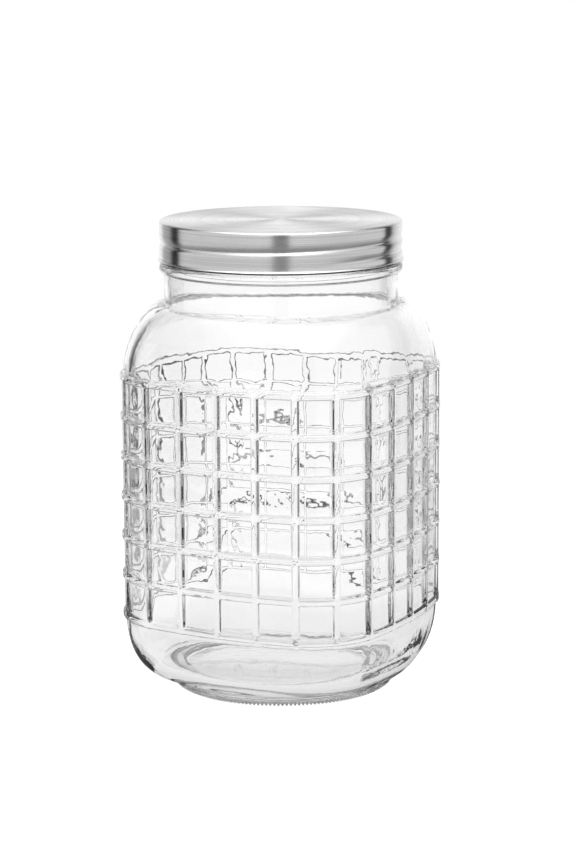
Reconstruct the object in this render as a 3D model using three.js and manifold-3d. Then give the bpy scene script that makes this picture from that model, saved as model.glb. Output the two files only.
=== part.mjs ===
// Square glass storage jar with a screw-on steel lid, empty and shut.
// Millimetres, +Z up, origin at the middle of the foot on the table, flat sides facing X and Y.
import * as THREE from 'three';
import { mergeVertices } from 'three/addons/utils/BufferGeometryUtils.js';
import Module from 'manifold-3d';

// Plan section of the body, measured over the ribs: four slightly bowed sides and four round corners
const bodyHalfWidth = 62.7;
const sideRadius = 198;
const cornerRadius = 33.2;

// Pressed grid: square panes between raised ribs, with a rib on each corner and on the middle of each side
const columnsPerSide = 6;
const rowCount = 6;
const bottomRibHeight = 33.7;
const rowPitch = 17.42;
const ribFootHalf = 2.0;
const ribCrestHalf = 0.75;
const ribRelief = 1.2;

// Foot, heel, shoulder and neck of the outside
const footRadius = 48.1;
const footFlat = 3.4;
const footRound = 0.8;
const footHeight = 3.6;
const undersideRise = 1.8;
const heelBottomHeight = 5.6;
const heelBottomRadius = 51.5;
const heelTopHeight = 34.2;
const heelFullness = 2.25;
const shoulderBottomHeight = 135.4;
const shoulderTopHeight = 167.8;
const shoulderTopRadius = 52;
const shoulderFullness = 2;
const neckRadius = 50.5;
const beadRadius = 52.4;
const beadBottomHeight = 181.6;
const beadTopHeight = 185.4;
const beadRound = 1;
const neckFillet = 1.6;
const mouthRadius = 49.6;
const mouthHeight = 201.9;
const mouthRound = 1.0;

// Inside of the glass
const wallThickness = 4.0;
const floorHeight = 9;
const floorRadius = 42;
const innerHeelTopHeight = 30;
const innerShoulderBottomHeight = 134.5;
const innerShoulderTopHeight = 165;
const innerNeckRadius = 47.9;
const floorDip = 0.5;
const cutPast = 5;

// Steel lid
const lidRadius = 52.3;
const lidInnerRadius = 50.7;
const lidBottomHeight = 186.3;
const lidTopHeight = 203.6;
const lidEdgeRound = 1.1;
const lidPlate = 1.2;
const flangeRadius = 53;
const flangeHeight = 187.2;
const flangeRound = 0.8;
const skirtBottomHeight = 188.3;
const skirtLevels = 12;

// Screw thread rolled into the skirt: angles are counted anticlockwise from the +X side
const threadPitch = 5.6;
const threadDepth = 0.9;
const threadAbove = 3.3;
const threadBelow = 1.9;
const threadMark = { angle: -63.6, height: 195.4 };
const threadStart = -395;
const threadEnd = 50;
const threadFade = 22;

// Fineness of the facets
const arcSteps = 5;
const levelGap = 1;
const cavitySegments = 48;
const lidSegments = 64;

const radians = THREE.MathUtils.degToRad;

// The corner arc is centred on the diagonal, where it meets the side arcs without a kink
const sideSetback = sideRadius - bodyHalfWidth;
const cornerCentre =
  (Math.sqrt(2 * (sideRadius - cornerRadius) ** 2 - sideSetback ** 2) - sideSetback) / 2;
const sideHalfAngle = Math.atan2(cornerCentre, cornerCentre + sideSetback);
const sideHalfLength = sideHalfAngle * sideRadius;
const cornerLength = (Math.PI / 2 - 2 * sideHalfAngle) * cornerRadius;
const quarterLength = 2 * sideHalfLength + cornerLength;
const columnPitch = quarterLength / columnsPerSide;

// Point and outward direction at a distance along the section, from the middle of the +X side
function sectionPoint(distance) {
  const side = Math.round(distance / quarterLength);
  const along = distance - side * quarterLength;
  const past = Math.max(0, Math.abs(along) - sideHalfLength);
  const turn = past > 0
    ? Math.sign(along) * (sideHalfAngle + past / cornerRadius)
    : along / sideRadius;
  const point = past > 0
    ? new THREE.Vector2(cornerCentre, Math.sign(along) * cornerCentre)
    : new THREE.Vector2(-sideSetback, 0);
  const outward = new THREE.Vector2(Math.cos(turn), Math.sin(turn));
  point.addScaledVector(outward, past > 0 ? cornerRadius : sideRadius);
  const origin = new THREE.Vector2();
  point.rotateAround(origin, side * Math.PI / 2);
  outward.rotateAround(origin, side * Math.PI / 2);
  return { point, outward };
}

// Shoulders and heels run from a round end to the full section along a quarter of an ellipse, or of
// a fuller curve where the fullness is over 2. Squareness is 0 at the round end and 1 at the section.
function squarenessAt(height, curve) {
  const reach = (height - curve.squareHeight) / (curve.roundHeight - curve.squareHeight);
  return reach > 0 ? Math.max(0, 1 - reach ** curve.fullness) ** (1 / curve.fullness) : 1;
}

function curveLevels(curve, steps) {
  const levels = [];
  for (let step = 0; step < steps; step++) {
    const reach = Math.cos((step / steps) * Math.PI / 2) ** (2 / curve.fullness);
    const height = curve.squareHeight + (curve.roundHeight - curve.squareHeight) * reach;
    levels.push({ radius: curve.roundRadius, height, squareness: squarenessAt(height, curve) });
  }
  return levels;
}

// Turns a lathe of levels onto the section: each level is round, square or between the two
function latheOnSection(levels, distances, inset) {
  const profile = levels.map((level) => new THREE.Vector2(level.radius, level.height));
  const lathe = new THREE.LatheGeometry(profile, distances.length);
  const position = lathe.getAttribute('position');
  for (let index = 0; index < position.count; index++) {
    const level = levels[index % levels.length];
    const segment = Math.floor(index / levels.length) % distances.length;
    const { point, outward } = sectionPoint(distances[segment].distance);
    const relief = level.inGrid && (level.crest || distances[segment].crest) ? ribRelief : 0;
    const square = point.clone().addScaledVector(outward, relief - inset);
    const round = point.clone().setLength(level.radius);
    const placed = round.lerp(square, level.squareness);
    position.setXYZ(index, placed.x, placed.y, level.height);
  }
  return lathe;
}

function roundLevel(radius, height) {
  return { radius, height, squareness: 0 };
}

// Four segments for each column: the crest of its rib between two feet, and the middle of the pane
function gridDistances() {
  const distances = [];
  for (let column = 0; column < 4 * columnsPerSide; column++) {
    const middle = column * columnPitch;
    distances.push({ distance: middle - ribFootHalf, crest: false });
    distances.push({ distance: middle, crest: true });
    distances.push({ distance: middle + ribFootHalf, crest: false });
    distances.push({ distance: middle + columnPitch / 2, crest: false });
  }
  return distances;
}

function evenDistances(count) {
  const spacing = 4 * quarterLength / count;
  return Array.from({ length: count }, (_, step) => ({ distance: step * spacing }));
}

const topRibHeight = bottomRibHeight + rowCount * rowPitch;
const heelCurve = {
  roundHeight: heelBottomHeight,
  roundRadius: heelBottomRadius,
  squareHeight: heelTopHeight,
  fullness: heelFullness,
};
const shoulderCurve = {
  roundHeight: shoulderTopHeight,
  roundRadius: shoulderTopRadius,
  squareHeight: shoulderBottomHeight,
  fullness: shoulderFullness,
};

// Four levels for each rib that runs round the body, the outermost of them flush with the plain glass
function ribLevels() {
  const levels = [];
  for (let row = 0; row <= rowCount; row++) {
    for (const offset of [-ribFootHalf, -ribCrestHalf, ribCrestHalf, ribFootHalf]) {
      const height = bottomRibHeight + row * rowPitch + offset;
      const crest = Math.abs(offset) === ribCrestHalf;
      const inGrid = height > bottomRibHeight - ribFootHalf && height < topRibHeight + ribFootHalf;
      const squareness = Math.min(squarenessAt(height, heelCurve), squarenessAt(height, shoulderCurve));
      levels.push({ radius: shoulderTopRadius, height, squareness, crest, inGrid });
    }
  }
  return levels;
}

function outsideLevels() {
  const heel = curveLevels(heelCurve, arcSteps + 2)
    .filter((level) => level.height < bottomRibHeight - ribFootHalf - levelGap);
  const shoulder = curveLevels(shoulderCurve, arcSteps + 1)
    .filter((level) => level.height > topRibHeight + ribFootHalf + levelGap)
    .reverse();
  return [
    roundLevel(0, undersideRise),
    roundLevel(footRadius - footFlat - undersideRise, undersideRise),
    roundLevel(footRadius - footFlat, 0),
    roundLevel(footRadius - footRound, 0),
    roundLevel(footRadius, footRound),
    roundLevel(footRadius, footHeight),
    ...heel,
    ...ribLevels(),
    ...shoulder,
    roundLevel(neckRadius, shoulderTopHeight + neckFillet),
    roundLevel(neckRadius, beadBottomHeight),
    roundLevel(beadRadius, beadBottomHeight + beadRound),
    roundLevel(beadRadius, beadTopHeight - beadRound),
    roundLevel(mouthRadius, beadTopHeight),
    roundLevel(mouthRadius, mouthHeight - mouthRound),
    roundLevel(mouthRadius - mouthRound, mouthHeight),
    roundLevel(0, mouthHeight),
  ];
}

// The cavity is cut out past the mouth, so that the jar is open there
function cavityLevels() {
  const heel = {
    roundHeight: floorHeight,
    roundRadius: floorRadius,
    squareHeight: innerHeelTopHeight,
    fullness: heelFullness,
  };
  const shoulder = {
    roundHeight: innerShoulderTopHeight,
    roundRadius: innerNeckRadius,
    squareHeight: innerShoulderBottomHeight,
    fullness: shoulderFullness,
  };
  return [
    roundLevel(0, floorHeight - floorDip),
    ...curveLevels(heel, arcSteps),
    { radius: floorRadius, height: innerHeelTopHeight, squareness: 1 },
    { radius: innerNeckRadius, height: innerShoulderBottomHeight, squareness: 1 },
    ...curveLevels(shoulder, arcSteps).reverse(),
    roundLevel(innerNeckRadius, mouthHeight + cutPast),
    roundLevel(0, mouthHeight + cutPast),
  ];
}

// Depth of the rolled thread at a place on the skirt, faded out at both ends
function threadDepthAt(angle, height) {
  let depth = 0;
  for (let lap = -2; lap <= 1; lap++) {
    const turned = angle + 360 * lap;
    if (turned < threadStart || turned > threadEnd) continue;
    const fromEnd = Math.min(turned - threadStart, threadEnd - turned);
    const fade = Math.min(1, fromEnd / threadFade);
    const bottom = threadMark.height + threadPitch * (turned - threadMark.angle) / 360;
    const away = height - bottom;
    const reach = away > 0 ? away / threadAbove : -away / threadBelow;
    if (reach < 1) depth = Math.max(depth, fade * threadDepth * Math.cos(reach * Math.PI / 2) ** 2);
  }
  return depth;
}

function lidGeometry() {
  const top = lidTopHeight - lidEdgeRound;
  const profile = [new THREE.Vector2(0, lidTopHeight)];
  for (const angle of [90, 45, 0]) {
    profile.push(new THREE.Vector2(
      lidRadius - lidEdgeRound + lidEdgeRound * Math.cos(radians(angle)),
      top + lidEdgeRound * Math.sin(radians(angle)),
    ));
  }
  const firstSkirtLevel = profile.length;
  for (let level = 1; level <= skirtLevels; level++) {
    profile.push(new THREE.Vector2(lidRadius, top + (skirtBottomHeight - top) * level / skirtLevels));
  }
  const lastSkirtLevel = profile.length - 1;
  profile.push(
    new THREE.Vector2(flangeRadius, flangeHeight),
    new THREE.Vector2(flangeRadius - flangeRound / 4, lidBottomHeight + flangeRound / 4),
    new THREE.Vector2(flangeRadius - flangeRound, lidBottomHeight),
    new THREE.Vector2(lidInnerRadius, flangeHeight),
    new THREE.Vector2(lidInnerRadius, lidTopHeight - lidPlate),
    new THREE.Vector2(0, lidTopHeight - lidPlate),
  );
  const lathe = new THREE.LatheGeometry(profile.reverse(), lidSegments);
  const position = lathe.getAttribute('position');
  for (let index = 0; index < position.count; index++) {
    const level = profile.length - 1 - index % profile.length;
    const angle = 360 * (Math.floor(index / profile.length) % lidSegments) / lidSegments;
    const { x: radius, y: height } = profile[index % profile.length];
    const onSkirt = level >= firstSkirtLevel && level <= lastSkirtLevel;
    const reach = onSkirt ? radius - threadDepthAt(angle, height) : radius;
    position.setXYZ(index, reach * Math.cos(radians(angle)), reach * Math.sin(radians(angle)), height);
  }
  return lathe;
}

// Solids are joined and cut as closed meshes whose shared vertices are merged
const library = await Module();
library.setup();

function toSolid(geometry) {
  const bare = geometry.clone();
  bare.deleteAttribute('normal');
  bare.deleteAttribute('uv');
  const merged = mergeVertices(bare, 1e-3);
  return new library.Manifold(new library.Mesh({
    numProp: 3,
    vertProperties: new Float32Array(merged.getAttribute('position').array),
    triVerts: new Uint32Array(merged.index.array),
  }));
}

function toGeometry(solid) {
  const { vertProperties, triVerts } = solid.getMesh();
  const geometry = new THREE.BufferGeometry();
  geometry.setAttribute('position', new THREE.BufferAttribute(new Float32Array(vertProperties), 3));
  geometry.setIndex(new THREE.BufferAttribute(new Uint32Array(triVerts), 1));
  geometry.computeVertexNormals();
  return geometry;
}

function jarGeometry() {
  const outside = toSolid(latheOnSection(outsideLevels(), gridDistances(), ribRelief));
  const innerInset = ribRelief + wallThickness;
  const cavity = toSolid(latheOnSection(cavityLevels(), evenDistances(cavitySegments), innerInset));
  return toGeometry(outside.subtract(cavity));
}

const glass = new THREE.MeshStandardMaterial({ color: 0xe9f0ef, roughness: 0.05, metalness: 0 });
const steel = new THREE.MeshStandardMaterial({ color: 0xc4c6c7, roughness: 0.3, metalness: 1 });

const jar = new THREE.Mesh(jarGeometry(), glass);
jar.name = 'jar';

const lid = new THREE.Mesh(toGeometry(toSolid(lidGeometry())), steel);
lid.name = 'lid';

const group = new THREE.Group();
group.add(jar, lid);

export default group;
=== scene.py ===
# Looks of the square glass storage jar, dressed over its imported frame
# Metres, +Z up, origin at the middle of the foot. The sizes below are in millimetres.
import math

import bmesh
import bpy
from mathutils import Matrix, Vector, noise


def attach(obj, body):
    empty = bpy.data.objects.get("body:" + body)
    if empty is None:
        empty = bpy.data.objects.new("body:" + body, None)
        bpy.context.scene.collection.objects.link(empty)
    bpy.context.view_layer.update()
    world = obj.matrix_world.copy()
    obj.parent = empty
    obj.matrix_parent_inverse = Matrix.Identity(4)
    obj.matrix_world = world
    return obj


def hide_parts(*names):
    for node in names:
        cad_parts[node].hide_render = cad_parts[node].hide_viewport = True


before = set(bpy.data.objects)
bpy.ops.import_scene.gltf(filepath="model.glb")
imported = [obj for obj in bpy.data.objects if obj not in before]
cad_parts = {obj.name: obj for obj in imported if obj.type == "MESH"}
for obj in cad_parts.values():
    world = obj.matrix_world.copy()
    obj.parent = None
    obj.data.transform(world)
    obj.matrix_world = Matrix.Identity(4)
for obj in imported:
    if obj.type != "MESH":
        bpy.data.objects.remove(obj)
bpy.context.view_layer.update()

MM = 0.001

# Plan section of the body over its ribs: four slightly bowed sides and four round corners
BODY_HALF_WIDTH = 62.7
SIDE_RADIUS = 198
CORNER_RADIUS = 33.2

# Pressed grid of raised ribs, with a rib on each corner and on the middle of each side
COLUMNS_PER_SIDE = 6
ROWS = 6
BOTTOM_RIB_HEIGHT = 33.7
ROW_PITCH = 17.42
RIB_HALF_WIDTH = 1.95
RIB_CREST_HALF_WIDTH = 1.0
RIB_CROWN = 0.06
RIB_RELIEF = 1.3

# Lines of the mesh across half a rib, steps across a pane, and the room between grid and curves
RIB_LINES = (0.0, 0.95, 1.24, 1.52, 1.8, 2.1)
PANE_STEPS = 4
LEVEL_GAP = 0.4

# Foot ring with its fine notches
FOOT_RADIUS = 48.1
FOOT_INNER_RADIUS = 44.7
FOOT_HEIGHT = 3.6
UNDERSIDE_RISE = 1.8
UNDERSIDE_SHARES = (0.25, 0.5, 0.75)
NOTCH_DEPTH = 0.6
NOTCH_RISE = 1.1

# Heel and shoulder, where the round ends swell into the square body
HEEL = {"round": 5.6, "radius": 51.5, "square": 34.2, "fullness": 2.25}
SHOULDER = {"round": 167.8, "radius": 52.0, "square": 135.4, "fullness": 2.0}
CURVE_STEPS = 14

# Neck and mouth
NECK_RADIUS = 50.5
NECK_FILLET = 2.6
NECK_FILLET_STEPS = 4
BEAD_RADIUS = 52.4
BEAD_BOTTOM = 181.6
BEAD_TOP = 185.4
MOUTH_RADIUS = 49.6
MOUTH_HEIGHT = 201.9
LIP_STEPS = 8

# Inside of the glass
WALL = 3.9
INNER_HEEL = {"round": 8.6, "radius": 45.0, "square": 32.0, "fullness": 2.3}
INNER_SHOULDER = {"round": 165.0, "radius": 47.9, "square": 134.5, "fullness": 2.0}
INNER_NECK_RADIUS = 47.9
INNER_NECK_LEVELS = (196.0, 188.0, 180.0)
INNER_NECK_BEND_FROM = 0.965
INNER_NECK_BEND_STEPS = 8
INNER_LEVEL_GAP = 0.5
INNER_WALL_STEPS = 42
FLOOR_DIP = 0.5
FLOOR_SHARES = (0.85, 0.6, 0.35, 0.12)
PANE_BULGE = 0.42

# Unevenness of the glass: the height of the waves, how far apart they are, and each pattern's seed
PANE_WAVE = 0.04
PANE_WAVE_SIZE = 9
PANE_WAVE_SEED = 11
WALL_WAVE = 0.12
WALL_WAVE_SIZE = 13
WALL_WAVE_SEED = 3
WALL_RIPPLE_SHARE = 0.4
WALL_RIPPLE_SIZE = 6
WALL_RIPPLE_SEED = 5
NECK_WAVE = 0.25
NECK_WAVE_SIZE = 7
NECK_WAVE_SEED = 21
NECK_WAVE_HEIGHT = 165.0
NECK_WAVE_REACH = 9.0

# Steel lid
LID_RADIUS = 52.3
LID_INNER_RADIUS = 50.7
LID_TOP = 203.59
LID_TOP_SHARES = (0.12, 0.3, 0.5, 0.7, 0.85, 0.95)
LID_EDGE_ROUND = 1.1
LID_EDGE_STEPS = 6
LID_PLATE = 1.2
FLANGE_RADIUS = 53.0
FLANGE_TOP = 188.3
FLANGE_EDGE = 186.85
FLANGE_BOTTOM = 186.1
SKIRT_STEPS = 56
LID_SEGMENTS = 240

# Screw thread rolled into the skirt; angles are counted anticlockwise from the +X side
THREAD_PITCH = 5.6
THREAD_DEPTH = 0.9
THREAD_ABOVE = 3.3
THREAD_BELOW = 1.9
THREAD_ROOT_SOFTNESS = 0.005
THREAD_MARK_ANGLE = -63.6
THREAD_MARK_HEIGHT = 195.4
THREAD_START = -404
THREAD_END = 50
THREAD_FADE = 22
THREAD_LAPS = range(-2, 2)

# Finish of the clear glass: a faint ripple over its polish
GLASS_TINT = (0.998, 0.999, 0.998, 1)
GLASS_IOR = 1.5
RIPPLE_SCALE = 220
RIPPLE_DETAIL = 1
RIPPLE_STRENGTH = 0.25
RIPPLE_DEPTH = 0.2

# Finish of the spun steel: fine rings, dull patches and painted shade that darkens the lid below the edge
# of its curled lip
STEEL_ANISOTROPY = 0.93
STEEL_GRAIN_TURN = 0.25
BRUSH_SCALE = 1500
BRUSH_DETAIL = 4
BRUSH_GREYS = (0.6, 0.82)
BRUSH_STRENGTH = 0.1
BRUSH_DEPTH = 0.05
PATCH_SCALE = 60
PATCH_DETAIL = 2
PATCH_ROUGHNESS = (0.22, 0.3)
# Painted shade under the lip: the share of brightness left below the lip's edge, and the height over which
# it fades in
PAINTED_SHADE_UNDER_LIP = 0.18
LIP_SHADE_FADE_HEIGHT = 0.12

# The range that most values of a noise texture lie in
NOISE_LOW = 0.3
NOISE_HIGH = 0.7

# The sockets of a Mix node that hold colours, by number, because their names are shared
FIRST_COLOUR = 6
SECOND_COLOUR = 7
MIXED_COLOUR = 2

# The camera, solved from the crossings of the ribs and the rings of the lid
CAMERA_AZIMUTH = 26.42
CAMERA_ELEVATION = 11.08
CAMERA_DISTANCE = 1172.8
CAMERA_ROLL = -0.31
CAMERA_TARGET = (2.19, 1.09, 110.67)
CAMERA_NEAR_LIMIT = 50
FOCAL_PIXELS = 2687
IMAGE_HEIGHT = 862
SENSOR = 36
LIGHT_BOUNCES = 32
TRAPPED_BOUNCES = 12

# Floor: its own grey, its glow seen directly, through glass and in steel, and how that fades sideways
FLOOR_RADIUS = 500
FLOOR_SEGMENTS = 96
FLOOR_GREY = 0.15
FLOOR_ROUGHNESS = 0.9
FLOOR_GLOW = 0.77
FLOOR_GLOW_SEEN = 1.0
FLOOR_GLOW_LOST_IN_STEEL = 0.75
FLOOR_SIDES = ((0, 1.0), (80, 1.0), (140, 0.85), (190, 0.4), (240, 0.05), (500, 0.02))

# Studio walls: brightness by bearing from the way the camera looks, with left positive, and by height
WHITE = (1, 1, 1, 1)
PANEL_BEARINGS = (
    (-180, 0.15), (-174, 0.15), (-171, 0.78), (-66, 0.78), (-62, 0.02), (-51, 0.02), (-48, 0.6),
    (-32, 0.98), (0, 1.0), (26, 1.0), (33, 0.5), (50, 0.4), (56, 0.0), (67, 0.0), (70, 0.78),
    (171, 0.78), (174, 0.15), (180, 0.15),
)
BACKDROP_BEARINGS = ((-180, 0.0), (-66, 0.0), (-50, 1.0), (50, 1.0), (66, 0.0), (180, 0.0))
BACKDROP_HEIGHTS = ((-90, 0.95), (16, 1.0), (24, 0.5), (50, 0.5), (90, 0.5))

# Dark screens that give the glass its lines: the share of the walls' light that glass lets through
SCREEN_BEARINGS = (
    (-180, 0.3), (-130, 0.2), (-110, 0.03), (-52, 0.03), (-38, 0.95), (-14, 1.08), (20, 1.08),
    (30, 1.0), (44, 0.03), (110, 0.03), (130, 0.2), (180, 0.3),
)
SCREEN_HEIGHTS = ((-90, 1.0), (18, 1.0), (30, 0.25), (90, 0.25))

# Soft light overhead: its middle, half sizes and soft edge as shares of its height above the lid
TOP_LIGHT = 3.2
TOP_LIGHT_MIDDLE = -0.25
TOP_LIGHT_HALF_LENGTH = 0.8
TOP_LIGHT_HALF_WIDTH = 0.65
TOP_LIGHT_SOFTNESS = 0.45
TOP_LIGHT_LOWEST = 0.01

# Plan section
side_setback = SIDE_RADIUS - BODY_HALF_WIDTH
corner_centre = (math.sqrt(2 * (SIDE_RADIUS - CORNER_RADIUS) ** 2 - side_setback ** 2) - side_setback) / 2
side_half_angle = math.atan2(corner_centre, corner_centre + side_setback)
side_half_length = side_half_angle * SIDE_RADIUS
quarter_length = 2 * side_half_length + (math.pi / 2 - 2 * side_half_angle) * CORNER_RADIUS
column_pitch = quarter_length / COLUMNS_PER_SIDE
column_count = 4 * COLUMNS_PER_SIDE
grid_top = BOTTOM_RIB_HEIGHT + ROWS * ROW_PITCH


def section_point(distance):
    """Gives the place on the section, and the way outwards there, at a distance from the +X side."""
    side = round(distance / quarter_length)
    along = distance - side * quarter_length
    past = max(0.0, abs(along) - side_half_length)
    if past > 0:
        turn = math.copysign(side_half_angle + past / CORNER_RADIUS, along)
        centre = Vector((corner_centre, math.copysign(corner_centre, along)))
        radius = CORNER_RADIUS
    else:
        turn = along / SIDE_RADIUS
        centre = Vector((-side_setback, 0.0))
        radius = SIDE_RADIUS
    outward = Vector((math.cos(turn), math.sin(turn)))
    point = centre + radius * outward
    for _ in range(side % 4):
        point = point.orthogonal()
        outward = outward.orthogonal()
    return point, outward


def squareness_at(height, curve):
    """Says how square the body is at a height: 0 where a curve is round, 1 from its square end on."""
    reach = (height - curve["square"]) / (curve["round"] - curve["square"])
    if reach <= 0:
        return 1.0
    return max(0.0, 1 - reach ** curve["fullness"]) ** (1 / curve["fullness"])


def curve_levels(curve):
    """Gives the levels of a heel or shoulder, from its round end to just short of the square one."""
    levels = []
    for step in range(CURVE_STEPS):
        reach = math.cos(step / CURVE_STEPS * math.pi / 2) ** (2 / curve["fullness"])
        height = curve["square"] + (curve["round"] - curve["square"]) * reach
        levels.append((curve["radius"], height, squareness_at(height, curve)))
    return levels


# Pressed grid
def rib_bump(away):
    """Gives the height of a rib, from 0 to 1, at a distance from its middle: a crown with steep flanks."""
    reach = (abs(away) - RIB_CREST_HALF_WIDTH) / (RIB_HALF_WIDTH - RIB_CREST_HALF_WIDTH)
    flank = 0.5 + 0.5 * math.cos(math.pi * min(max(reach, 0.0), 1.0))
    return flank * (1 - RIB_CROWN * (away / RIB_HALF_WIDTH) ** 2)


def relief_at(height, distance):
    """Gives the relief of the pressed grid at a place on the body."""
    row = min(max(round((height - BOTTOM_RIB_HEIGHT) / ROW_PITCH), 0), ROWS)
    across = rib_bump(height - BOTTOM_RIB_HEIGHT - row * ROW_PITCH)
    upright = rib_bump(distance - round(distance / column_pitch) * column_pitch)
    if not BOTTOM_RIB_HEIGHT <= height <= grid_top:
        upright *= across
    return RIB_RELIEF * (1 - (1 - across) * (1 - upright))


def bulge_at(height, distance):
    """Gives the share by which the glass is thicker there: most in the middle of each pane."""
    if not BOTTOM_RIB_HEIGHT <= height <= grid_top:
        return 0.0
    across = abs(math.sin(math.pi * (height - BOTTOM_RIB_HEIGHT) / ROW_PITCH))
    along = abs(math.sin(math.pi * distance / column_pitch))
    return across + along


rib_offsets = [-line for line in reversed(RIB_LINES[1:])] + list(RIB_LINES)


def pane_offsets(pitch):
    """Gives the offsets of the mesh's lines on the pane after a rib, counted from the rib's middle."""
    pane = pitch - 2 * rib_offsets[-1]
    return [rib_offsets[-1] + pane * step / PANE_STEPS for step in range(1, PANE_STEPS)]


def column_distances():
    """Gives the distances round the section where the mesh has a line: close on ribs, wide on panes."""
    offsets = rib_offsets + pane_offsets(column_pitch)
    return [column * column_pitch + offset for column in range(column_count) for offset in offsets]


def row_heights():
    """Gives the heights where the mesh has a ring in the grid, from its lowest rib to its highest."""
    heights = []
    for row in range(ROWS + 1):
        middle = BOTTOM_RIB_HEIGHT + row * ROW_PITCH
        heights += [middle + offset for offset in rib_offsets]
        if row < ROWS:
            heights += [middle + offset for offset in pane_offsets(ROW_PITCH)]
    return heights


grid_distances = column_distances()
segment_count = len(grid_distances)
even_distances = [
    4 * quarter_length * index / segment_count + grid_distances[0] for index in range(segment_count)
]


# Rings of mesh
def start_ring(skin, segments, height):
    """Makes the fan of faces round a pole at a height, and gives its rim in order."""
    made = bmesh.ops.create_circle(skin, cap_ends=True, cap_tris=True, segments=segments, radius=1)["verts"]
    pole = min(made, key=lambda vertex: vertex.co.length)
    pole.co = Vector((0, 0, height))
    rim = [vertex for vertex in made if vertex != pole]
    return sorted(rim, key=lambda vertex: math.atan2(vertex.co.y, vertex.co.x) % (2 * math.pi))


def next_ring(skin, ring):
    """Extrudes a ring of edges and gives the new ring in the same order."""
    edges = [skin.edges.get(pair) for pair in zip(ring, ring[1:] + ring[:1])]
    made = bmesh.ops.extrude_edge_only(skin, edges=edges)["geom"]
    fresh = {item for item in made if isinstance(item, bmesh.types.BMVert)}
    return [
        next(edge.other_vert(vertex) for edge in vertex.link_edges if edge.other_vert(vertex) in fresh)
        for vertex in ring
    ]


def shape_ring(ring, level, place):
    """Moves the vertices of a ring to their places on a level."""
    for index, vertex in enumerate(ring):
        vertex.co = place(index, *level)


def lay_rings(skin, ring, levels, place):
    """Extrudes and shapes a ring for each level, and gives the last one."""
    for level in levels:
        ring = next_ring(skin, ring)
        shape_ring(ring, level, place)
    return ring


def close_pole(skin, ring, height):
    """Adds a last ring and draws it together into one point on the axis."""
    bmesh.ops.pointmerge(skin, verts=next_ring(skin, ring), merge_co=Vector((0, 0, height)))


def finish_piece(skin, name, node, material):
    """Turns a skin into a smooth piece that rides on the root body and stands for its node."""
    bmesh.ops.recalc_face_normals(skin, faces=skin.faces)
    bmesh.ops.scale(skin, vec=Vector((MM, MM, MM)), verts=skin.verts)
    mesh = bpy.data.meshes.new(name)
    skin.to_mesh(mesh)
    skin.free()
    mesh.polygons.foreach_set("use_smooth", [True] * len(mesh.polygons))
    mesh.materials.append(material)
    piece = bpy.data.objects.new(name, mesh)
    bpy.context.scene.collection.objects.link(piece)
    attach(piece, "root")
    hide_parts(node)


# Glass body
def foot_levels():
    """Gives the levels of the underside and the foot ring, each with its share of the notches."""
    inner = FOOT_INNER_RADIUS
    outer = FOOT_RADIUS
    levels = [(inner * share, UNDERSIDE_RISE, 0.0) for share in UNDERSIDE_SHARES]
    levels += [
        (inner - 2.2, UNDERSIDE_RISE * 0.96, 0.0),
        (inner - 1.2, UNDERSIDE_RISE * 0.7, 0.1),
        (inner - 0.4, UNDERSIDE_RISE * 0.25, 0.5),
        (inner + 0.4, 0.0, 1.0),
        (outer - 1.3, 0.0, 1.0),
        (outer - 0.45, 0.12, 1.0),
        (outer - 0.1, 0.55, 1.0),
        (outer, 1.2, 0.7),
        (outer, 1.9, 0.2),
        (outer, FOOT_HEIGHT - 0.9, 0.0),
        (outer + 0.25, FOOT_HEIGHT, 0.0),
        (outer + 0.9, FOOT_HEIGHT + 0.8, 0.0),
        (outer + 2.0, FOOT_HEIGHT + 1.5, 0.0),
    ]
    return levels


def bead_levels():
    """Gives the levels of the neck, from above its fillet over the bead to the foot of the mouth."""
    return [
        (NECK_RADIUS, (SHOULDER["round"] + NECK_FILLET + BEAD_BOTTOM) / 2, 0.0),
        (NECK_RADIUS, BEAD_BOTTOM - 0.4, 0.0),
        (NECK_RADIUS + 0.1, BEAD_BOTTOM - 0.1, 0.0),
        (NECK_RADIUS + 0.4, BEAD_BOTTOM, 0.0),
        (BEAD_RADIUS - 0.7, BEAD_BOTTOM + 0.1, 0.0),
        (BEAD_RADIUS - 0.25, BEAD_BOTTOM + 0.35, 0.0),
        (BEAD_RADIUS, BEAD_BOTTOM + 0.9, 0.0),
        (BEAD_RADIUS, BEAD_TOP - 1.4, 0.0),
        (BEAD_RADIUS - 0.3, BEAD_TOP - 0.6, 0.0),
        (BEAD_RADIUS - 1.0, BEAD_TOP - 0.1, 0.0),
        (MOUTH_RADIUS + 0.2, BEAD_TOP + 0.1, 0.0),
        (MOUTH_RADIUS, BEAD_TOP + 0.6, 0.0),
        (MOUTH_RADIUS, (BEAD_TOP + MOUTH_HEIGHT) / 2, 0.0),
    ]


def outside_levels():
    """Gives radius, height and squareness of each ring from the heel to the rim of the mouth."""
    heights = row_heights()
    levels = [level for level in curve_levels(HEEL) if level[1] < heights[0] - LEVEL_GAP]
    for height in heights:
        squareness = min(squareness_at(height, HEEL), squareness_at(height, SHOULDER))
        levels.append((SHOULDER["radius"], height, squareness))
    levels += [level for level in reversed(curve_levels(SHOULDER)) if level[1] > heights[-1] + LEVEL_GAP]
    for step in range(1, NECK_FILLET_STEPS + 1):
        turn = step / NECK_FILLET_STEPS * math.pi / 2
        radius = SHOULDER["radius"] - (SHOULDER["radius"] - NECK_RADIUS) * math.sin(turn)
        levels.append((radius, SHOULDER["round"] + NECK_FILLET * (1 - math.cos(turn)), 0.0))
    levels += bead_levels()
    lip_middle = (MOUTH_RADIUS + INNER_NECK_RADIUS) / 2
    lip_half = (MOUTH_RADIUS - INNER_NECK_RADIUS) / 2
    for step in range(LIP_STEPS + 1):
        turn = step / LIP_STEPS * math.pi
        height = MOUTH_HEIGHT - lip_half + lip_half * math.sin(turn)
        levels.append((lip_middle + lip_half * math.cos(turn), height, 0.0))
    return levels


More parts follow.
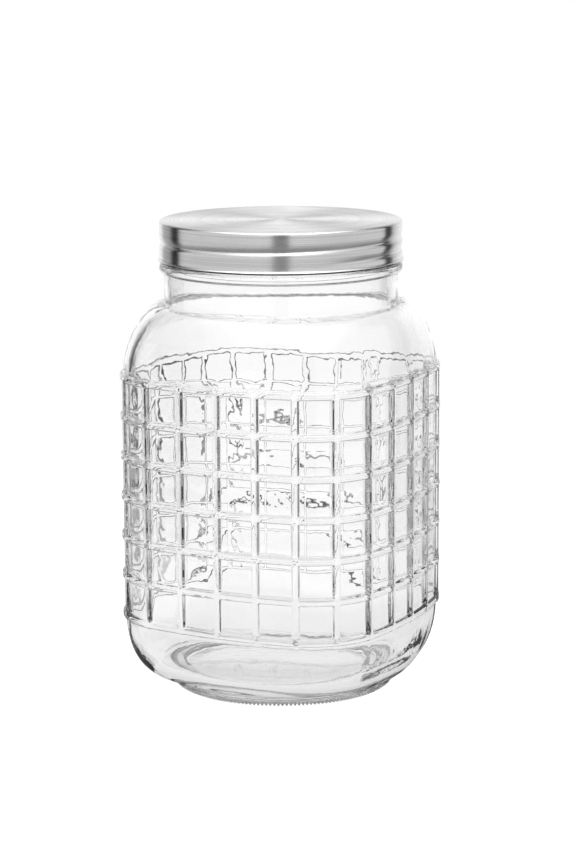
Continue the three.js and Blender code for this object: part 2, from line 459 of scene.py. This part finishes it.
bend_start_height = (
    INNER_SHOULDER["square"] + (INNER_SHOULDER["round"] - INNER_SHOULDER["square"]) * INNER_NECK_BEND_FROM
)


def neck_bend_levels():
    """Gives the soft bend from the straight inside of the neck down into the shoulder."""
    squareness = squareness_at(bend_start_height, INNER_SHOULDER)
    side = BODY_HALF_WIDTH - RIB_RELIEF - WALL
    run = (side - INNER_NECK_RADIUS) * squareness
    slope_run = (side - INNER_NECK_RADIUS) * INNER_NECK_BEND_FROM / squareness
    start = math.atan2(INNER_SHOULDER["round"] - INNER_SHOULDER["square"], slope_run)
    bend = run / (1 - math.sin(start))
    levels = []
    for step in range(INNER_NECK_BEND_STEPS, -1, -1):
        turn = start + (math.pi / 2 - start) * step / INNER_NECK_BEND_STEPS
        share = (1 - math.sin(turn)) / (1 - math.sin(start))
        height = bend_start_height + bend * (math.cos(start) - math.cos(turn))
        levels.append((INNER_NECK_RADIUS, height, squareness * share))
    return levels


def inside_levels():
    """Gives radius, height and squareness of each ring from the mouth down to the floor."""
    levels = [(INNER_NECK_RADIUS, height, 0.0) for height in INNER_NECK_LEVELS]
    levels += neck_bend_levels()
    levels += [
        level for level in curve_levels(INNER_SHOULDER) if level[1] < bend_start_height - INNER_LEVEL_GAP
    ]
    drop = INNER_SHOULDER["square"] - INNER_HEEL["square"]
    for step in range(INNER_WALL_STEPS + 1):
        height = INNER_SHOULDER["square"] - drop * step / INNER_WALL_STEPS
        levels.append((INNER_SHOULDER["radius"], height, 1.0))
    levels += list(reversed(curve_levels(INNER_HEEL)))
    for share in FLOOR_SHARES:
        height = INNER_HEEL["round"] - FLOOR_DIP * (1 - share ** 2)
        levels.append((INNER_HEEL["radius"] * share, height, 0.0))
    return levels


def wave_at(place, size, seed):
    """Gives a smooth unevenness between -1 and 1, with humps about as far apart as size."""
    return noise.noise(Vector(place) / size + Vector((seed, 2 * seed, 3 * seed)))


def pushed_out(place, distance):
    """Gives the place that lies a distance further from the axis."""
    return place + Vector((place.x, place.y, 0)).normalized() * distance


def body_place(index, radius, height, squareness, inset, ribbed):
    """Places one vertex of the glass on its level: between a circle and the square section."""
    distance = even_distances[index] + (grid_distances[index] - even_distances[index]) * squareness
    point, outward = section_point(distance)
    relief = relief_at(height, distance) if ribbed else -PANE_BULGE * bulge_at(height, distance)
    square = point + outward * (relief - inset)
    angle = math.atan2(point.y, point.x)
    if squareness < 1:
        even_angle = 2 * math.pi * even_distances[index] / (4 * quarter_length)
        angle = even_angle + math.remainder(angle - even_angle, 2 * math.pi) * squareness
    round_point = Vector((math.cos(angle), math.sin(angle))) * radius
    placed = round_point.lerp(square, squareness)
    return Vector((placed.x, placed.y, height))


def foot_place(index, radius, height, notched):
    """Places one vertex of the foot, with a notch at every second one."""
    gap = notched if index % 2 else 0.0
    return body_place(index, radius - NOTCH_DEPTH * gap, height + NOTCH_RISE * gap, 0.0, 0.0, False)


def outside_place(index, radius, height, squareness):
    """Places one vertex of the outside, with its ribs and its slight unevenness."""
    place = body_place(index, radius, height, squareness, RIB_RELIEF, True)
    wave = wave_at(place, PANE_WAVE_SIZE, PANE_WAVE_SEED) - 1
    return pushed_out(place, PANE_WAVE * squareness * wave)


def inside_place(index, radius, height, squareness):
    """Places one vertex of the inside, which is wavy on the walls and round the neck."""
    place = body_place(index, radius, height, squareness, RIB_RELIEF + WALL, False)
    nearness = max(0, 1 - ((height - NECK_WAVE_HEIGHT) / NECK_WAVE_REACH) ** 2)
    place.z += NECK_WAVE * nearness * wave_at(place, NECK_WAVE_SIZE, NECK_WAVE_SEED)
    wave = wave_at(place, WALL_WAVE_SIZE, WALL_WAVE_SEED)
    wave += WALL_RIPPLE_SHARE * wave_at(place, WALL_RIPPLE_SIZE, WALL_RIPPLE_SEED)
    return pushed_out(place, WALL_WAVE * squareness * wave)


def glass_skin():
    """Makes the whole glass as one closed skin, ring by ring: underside, outside, mouth and inside."""
    skin = bmesh.new()
    ring = start_ring(skin, segment_count, UNDERSIDE_RISE)
    foot = foot_levels()
    shape_ring(ring, foot[0], foot_place)
    ring = lay_rings(skin, ring, foot[1:], foot_place)
    ring = lay_rings(skin, ring, outside_levels(), outside_place)
    ring = lay_rings(skin, ring, inside_levels(), inside_place)
    close_pole(skin, ring, INNER_HEEL["round"] - FLOOR_DIP)
    return skin


# Steel lid
def thread_depth_at(angle, height):
    """Gives the depth of the rolled thread at a place on the skirt, faded out at both ends."""
    depth = 0.0
    for lap in THREAD_LAPS:
        turned = angle + 360 * lap
        if not THREAD_START <= turned <= THREAD_END:
            continue
        fade = min(1.0, min(turned - THREAD_START, THREAD_END - turned) / THREAD_FADE)
        root = THREAD_MARK_HEIGHT + THREAD_PITCH * (turned - THREAD_MARK_ANGLE) / 360
        away = height - root
        reach = away / THREAD_ABOVE if away > 0 else -away / THREAD_BELOW
        if reach < 1:
            groove = (1 - math.sqrt(reach ** 2 + THREAD_ROOT_SOFTNESS)) ** 2
            depth = max(depth, fade * THREAD_DEPTH * groove)
    return depth


def lid_levels():
    """Gives radius, height and whether the thread is rolled there, from the top's middle to its inside."""
    levels = [(LID_RADIUS * share, LID_TOP, False) for share in LID_TOP_SHARES]
    skirt_top = LID_TOP - LID_EDGE_ROUND
    for step in range(LID_EDGE_STEPS + 1):
        turn = math.pi / 2 * (1 - step / LID_EDGE_STEPS)
        radius = LID_RADIUS - LID_EDGE_ROUND + LID_EDGE_ROUND * math.cos(turn)
        levels.append((radius, skirt_top + LID_EDGE_ROUND * math.sin(turn), False))
    for step in range(1, SKIRT_STEPS + 1):
        levels.append((LID_RADIUS, skirt_top + (FLANGE_TOP - skirt_top) * step / SKIRT_STEPS, True))
    levels += [
        (LID_RADIUS + 0.04, FLANGE_TOP - 0.4, False),
        (LID_RADIUS + 0.15, FLANGE_TOP - 0.75, False),
        (LID_RADIUS + 0.32, FLANGE_EDGE + 0.42, False),
        (FLANGE_RADIUS - 0.16, FLANGE_EDGE + 0.24, False),
        (FLANGE_RADIUS - 0.03, FLANGE_EDGE + 0.12, False),
        (FLANGE_RADIUS, FLANGE_EDGE, False),
        (FLANGE_RADIUS - 0.06, FLANGE_EDGE - 0.15, False),
        (FLANGE_RADIUS - 0.22, FLANGE_EDGE - 0.42, False),
        (FLANGE_RADIUS - 0.42, FLANGE_BOTTOM + 0.07, False),
        (FLANGE_RADIUS - 0.65, FLANGE_BOTTOM, False),
        (FLANGE_RADIUS - 1.2, FLANGE_BOTTOM + 0.1, False),
        (LID_INNER_RADIUS, FLANGE_BOTTOM + 0.6, False),
        (LID_INNER_RADIUS, FLANGE_TOP + 1, False),
        (LID_INNER_RADIUS, LID_TOP - LID_PLATE - 0.6, False),
        (LID_INNER_RADIUS - 0.6, LID_TOP - LID_PLATE, False),
        (LID_INNER_RADIUS * 0.5, LID_TOP - LID_PLATE, False),
    ]
    return levels


def lid_place(index, radius, height, threaded):
    """Places one vertex of the lid, pressed in where the thread is rolled."""
    angle = 360 * index / LID_SEGMENTS
    reach = radius - thread_depth_at(angle, height) if threaded else radius
    turn = math.radians(angle)
    return Vector((reach * math.cos(turn), reach * math.sin(turn), height))


def lid_skin():
    """Makes the lid as one closed shell: top, threaded skirt, curled rim and inside."""
    skin = bmesh.new()
    ring = start_ring(skin, LID_SEGMENTS, LID_TOP)
    levels = lid_levels()
    shape_ring(ring, levels[0], lid_place)
    ring = lay_rings(skin, ring, levels[1:], lid_place)
    close_pole(skin, ring, LID_TOP - LID_PLATE)
    return skin


# Nodes
def new_material(name):
    """Makes a node material and gives it with its tree and its surface shader."""
    material = bpy.data.materials.new(name)
    material.use_nodes = True
    tree = material.node_tree
    return material, tree, tree.nodes["Principled BSDF"]


def add_node(tree, kind, **values):
    """Adds a node and sets its properties, or its inputs where a value's name is an input's."""
    node = tree.nodes.new(kind)
    for name, value in values.items():
        if hasattr(node, name):
            setattr(node, name, value)
        else:
            node.inputs[name.replace("_", " ")].default_value = value
    return node


def feed(tree, source, socket):
    """Joins an output to an input, or sets the input where the source is a number or a colour."""
    if isinstance(source, bpy.types.NodeSocket):
        tree.links.new(source, socket)
    else:
        socket.default_value = source


def calculate(tree, operation, *sources):
    """Adds a maths node over outputs and numbers, and gives its result."""
    node = add_node(tree, "ShaderNodeMath", operation=operation)
    for source, socket in zip(sources, node.inputs):
        feed(tree, source, socket)
    return node.outputs[0]


def mix_colours(tree, blend_type, share, first, second):
    """Adds a mix of two colours by a share, and gives its result."""
    node = add_node(tree, "ShaderNodeMix", data_type="RGBA", blend_type=blend_type)
    feed(tree, share, node.inputs["Factor"])
    feed(tree, first, node.inputs[FIRST_COLOUR])
    feed(tree, second, node.inputs[SECOND_COLOUR])
    return node.outputs[MIXED_COLOUR]


def split(tree, place):
    """Splits a place or a direction into its parts."""
    parts = add_node(tree, "ShaderNodeSeparateXYZ")
    tree.links.new(place, parts.inputs["Vector"])
    return parts.outputs


def add_noise(tree, place, scale, detail):
    """Adds a noise texture over a place, and gives its value."""
    texture = add_node(tree, "ShaderNodeTexNoise", Scale=scale, Detail=detail)
    tree.links.new(place, texture.inputs["Vector"])
    return texture.outputs["Fac"]


def spread(tree, value, limits):
    """Spreads the values of a noise texture between two limits."""
    low, high = limits
    spreader = add_node(tree, "ShaderNodeMapRange", From_Min=NOISE_LOW, From_Max=NOISE_HIGH)
    spreader.inputs["To Min"].default_value = low
    spreader.inputs["To Max"].default_value = high
    tree.links.new(value, spreader.inputs["Value"])
    return spreader.outputs["Result"]


def add_bump(tree, shader, height, strength, depth):
    """Roughens a shader's surface by a height, with a depth in millimetres."""
    bump = add_node(tree, "ShaderNodeBump", Strength=strength, Distance=depth * MM)
    tree.links.new(height, bump.inputs["Height"])
    tree.links.new(bump.outputs["Normal"], shader.inputs["Normal"])


def add_ramp(tree, source, stops):
    """Adds a colour ramp of greys over a value from 0 to 1."""
    ramp = add_node(tree, "ShaderNodeValToRGB")
    tree.links.new(source, ramp.inputs["Fac"])
    elements = ramp.color_ramp.elements
    elements[0].position = stops[0][0]
    elements[0].color = (*[stops[0][1]] * 3, 1)
    elements[1].position = stops[-1][0]
    elements[1].color = (*[stops[-1][1]] * 3, 1)
    for position, grey in stops[1:-1]:
        elements.new(position).color = (grey, grey, grey, 1)
    return ramp.outputs["Color"]


def studio_parts(tree, place):
    """Splits a place or direction along the studio: X to the backdrop, Y to its left and Z up."""
    turn = add_node(tree, "ShaderNodeVectorRotate", rotation_type="Z_AXIS")
    turn.inputs["Angle"].default_value = -math.radians(CAMERA_AZIMUTH + 90)
    tree.links.new(place, turn.inputs["Vector"])
    return split(tree, turn.outputs["Vector"])


# Materials
def glass_material():
    """Makes clear, fire-polished glass with a faint ripple."""
    material, tree, shader = new_material("fire_polished_glass")
    shader.inputs["Base Color"].default_value = GLASS_TINT
    shader.inputs["Transmission Weight"].default_value = 1.0
    shader.inputs["IOR"].default_value = GLASS_IOR
    shader.inputs["Roughness"].default_value = 0.0
    place = add_node(tree, "ShaderNodeTexCoord").outputs["Object"]
    ripple = add_noise(tree, place, RIPPLE_SCALE, RIPPLE_DETAIL)
    add_bump(tree, shader, ripple, RIPPLE_STRENGTH, RIPPLE_DEPTH)
    return material


def steel_material():
    """Makes spun steel, with fine rings round the axis and painted shade that darkens it below the edge of
    its curled lip.
    """
    material, tree, shader = new_material("spun_steel")
    shader.inputs["Metallic"].default_value = 1.0
    shader.inputs["Anisotropic"].default_value = STEEL_ANISOTROPY
    shader.inputs["Anisotropic Rotation"].default_value = STEEL_GRAIN_TURN
    tangent = add_node(tree, "ShaderNodeTangent", direction_type="RADIAL", axis="Z")
    tree.links.new(tangent.outputs["Tangent"], shader.inputs["Tangent"])
    place = add_node(tree, "ShaderNodeTexCoord").outputs["Object"]
    parts = split(tree, place)
    square_x = calculate(tree, "MULTIPLY", parts["X"], parts["X"])
    square_y = calculate(tree, "MULTIPLY", parts["Y"], parts["Y"])
    ring_place = add_node(tree, "ShaderNodeCombineXYZ")
    feed(tree, calculate(tree, "SQRT", calculate(tree, "ADD", square_x, square_y)), ring_place.inputs["X"])
    feed(tree, parts["Z"], ring_place.inputs["Y"])
    brush = add_noise(tree, ring_place.outputs["Vector"], BRUSH_SCALE, BRUSH_DETAIL)
    # Painted shade: the lid is darkened below the edge of its lip, standing in for the shadow in the gap
    # under the rim
    painted_lip_shade = add_node(tree, "ShaderNodeMapRange", To_Min=PAINTED_SHADE_UNDER_LIP, From_Max=FLANGE_EDGE * MM)
    painted_lip_shade.inputs["From Min"].default_value = (FLANGE_EDGE - LIP_SHADE_FADE_HEIGHT) * MM
    feed(tree, parts["Z"], painted_lip_shade.inputs["Value"])
    grey = calculate(tree, "MULTIPLY", spread(tree, brush, BRUSH_GREYS), painted_lip_shade.outputs["Result"])
    feed(tree, grey, shader.inputs["Base Color"])
    patches = add_noise(tree, place, PATCH_SCALE, PATCH_DETAIL)
    feed(tree, spread(tree, patches, PATCH_ROUGHNESS), shader.inputs["Roughness"])
    add_bump(tree, shader, brush, BRUSH_STRENGTH, BRUSH_DEPTH)
    return material


# Studio
def make_camera():
    """Sets up the camera at its place, looking at its target, with a slight roll."""
    azimuth = math.radians(CAMERA_AZIMUTH)
    elevation = math.radians(CAMERA_ELEVATION)
    roll = math.radians(CAMERA_ROLL)
    back = Vector((
        math.sin(azimuth) * math.cos(elevation),
        -math.cos(azimuth) * math.cos(elevation),
        math.sin(elevation),
    ))
    level_right = Vector((math.cos(azimuth), math.sin(azimuth), 0))
    level_up = back.cross(level_right)
    right = level_right * math.cos(roll) + level_up * math.sin(roll)
    up = back.cross(right)
    place = Vector(CAMERA_TARGET) * MM + back * CAMERA_DISTANCE * MM
    camera_data = bpy.data.cameras.new("camera")
    camera_data.sensor_width = SENSOR
    camera_data.lens = FOCAL_PIXELS / IMAGE_HEIGHT * SENSOR
    camera_data.clip_start = CAMERA_NEAR_LIMIT * MM
    camera = bpy.data.objects.new("camera", camera_data)
    bpy.context.scene.collection.objects.link(camera)
    camera.matrix_world = Matrix((
        (right.x, up.x, back.x, place.x),
        (right.y, up.y, back.y, place.y),
        (right.z, up.z, back.z, place.z),
        (0, 0, 0, 1),
    ))
    bpy.context.scene.camera = camera


def floor_material():
    """Makes a pale glowing floor, white to the eye, that fades to the sides when seen through glass."""
    material, tree, shader = new_material("pale_floor")
    shader.inputs["Base Color"].default_value = (FLOOR_GREY, FLOOR_GREY, FLOOR_GREY, 1)
    shader.inputs["Roughness"].default_value = FLOOR_ROUGHNESS
    shader.inputs["Emission Color"].default_value = WHITE
    parts = studio_parts(tree, add_node(tree, "ShaderNodeTexCoord").outputs["Object"])
    aside = calculate(tree, "DIVIDE", calculate(tree, "ABSOLUTE", parts["Y"]), FLOOR_RADIUS * MM)
    sides = add_ramp(tree, aside, [(stop / FLOOR_RADIUS, grey) for stop, grey in FLOOR_SIDES])
    path = add_node(tree, "ShaderNodeLightPath").outputs
    glow = calculate(tree, "MULTIPLY_ADD", path["Is Reflection Ray"], -FLOOR_GLOW_LOST_IN_STEEL, FLOOR_GLOW)
    seen = add_node(tree, "ShaderNodeMix")
    feed(tree, path["Is Camera Ray"], seen.inputs["Factor"])
    feed(tree, calculate(tree, "MULTIPLY", glow, sides), seen.inputs["A"])
    feed(tree, FLOOR_GLOW_SEEN, seen.inputs["B"])
    feed(tree, seen.outputs["Result"], shader.inputs["Emission Strength"])
    return material


def make_floor():
    """Lays a round floor under the jar."""
    disc = bmesh.new()
    bmesh.ops.create_circle(disc, cap_ends=True, segments=FLOOR_SEGMENTS, radius=FLOOR_RADIUS * MM)
    mesh = bpy.data.meshes.new("floor")
    disc.to_mesh(mesh)
    disc.free()
    mesh.materials.append(floor_material())
    floor = bpy.data.objects.new("floor", mesh)
    bpy.context.scene.collection.objects.link(floor)


def top_light_share(tree, parts):
    """Gives how far a direction lies in the soft light overhead: 1 inside it and 0 outside."""
    height = calculate(tree, "MAXIMUM", parts["Z"], TOP_LIGHT_LOWEST)
    reaches = (
        ("X", TOP_LIGHT_MIDDLE, TOP_LIGHT_HALF_LENGTH),
        ("Y", 0, TOP_LIGHT_HALF_WIDTH),
    )
    shares = []
    for axis, middle, half in reaches:
        offset = calculate(tree, "SUBTRACT", calculate(tree, "DIVIDE", parts[axis], height), middle)
        share = add_node(tree, "ShaderNodeMapRange", interpolation_type="SMOOTHSTEP")
        share.inputs["From Min"].default_value = half + TOP_LIGHT_SOFTNESS
        share.inputs["From Max"].default_value = half - TOP_LIGHT_SOFTNESS
        feed(tree, calculate(tree, "ABSOLUTE", offset), share.inputs["Value"])
        shares.append(share.outputs["Result"])
    return calculate(tree, "MULTIPLY", *shares)


def bearing_ramp(tree, around, stops):
    """Adds a ramp of greys by bearing, in degrees from -180 to 180."""
    return add_ramp(tree, around, [(0.5 + bearing / 360, grey) for bearing, grey in stops])


def height_ramp(tree, upward, stops):
    """Adds a ramp of greys by height, in degrees from -90 to 90."""
    return add_ramp(tree, upward, [(0.5 + height / 180, grey) for height, grey in stops])


def make_world():
    """Lights the studio from a white backdrop, two big side panels and a top light, with dark gaps."""
    world = bpy.data.worlds.new("studio")
    bpy.context.scene.world = world
    world.use_nodes = True
    tree = world.node_tree
    parts = studio_parts(tree, add_node(tree, "ShaderNodeTexCoord").outputs["Generated"])
    bearing = calculate(tree, "ARCTAN2", parts["Y"], parts["X"])
    around = calculate(tree, "MULTIPLY_ADD", bearing, 1 / (2 * math.pi), 0.5)
    rise = calculate(tree, "ARCSINE", parts["Z"])
    upward = calculate(tree, "MULTIPLY_ADD", rise, 1 / math.pi, 0.5)
    panels = bearing_ramp(tree, around, PANEL_BEARINGS)
    behind = bearing_ramp(tree, around, BACKDROP_BEARINGS)
    falloff = height_ramp(tree, upward, BACKDROP_HEIGHTS)
    walls = mix_colours(tree, "MULTIPLY", behind, panels, falloff)
    overhead = (TOP_LIGHT, TOP_LIGHT, TOP_LIGHT, 1)
    dome = mix_colours(tree, "MIX", top_light_share(tree, parts), walls, overhead)
    screens = bearing_ramp(tree, around, SCREEN_BEARINGS)
    hood = height_ramp(tree, upward, SCREEN_HEIGHTS)
    let_through = mix_colours(tree, "MULTIPLY", 1, screens, hood)
    path = add_node(tree, "ShaderNodeLightPath").outputs
    screened = mix_colours(tree, "MULTIPLY", path["Is Transmission Ray"], dome, let_through)
    seen = mix_colours(tree, "MIX", path["Is Camera Ray"], screened, WHITE)
    feed(tree, seen, tree.nodes["Background"].inputs["Color"])


def set_light_paths():
    """Keeps whites as they are, and lets light pass through many layers of glass."""
    scene = bpy.context.scene
    scene.view_settings.view_transform = "Standard"
    scene.cycles.max_bounces = LIGHT_BOUNCES
    scene.cycles.transmission_bounces = LIGHT_BOUNCES
    scene.cycles.glossy_bounces = TRAPPED_BOUNCES


make_camera()
make_world()
make_floor()
finish_piece(glass_skin(), "glass_jar", "jar", glass_material())
finish_piece(lid_skin(), "steel_lid", "lid", steel_material())
set_light_paths()
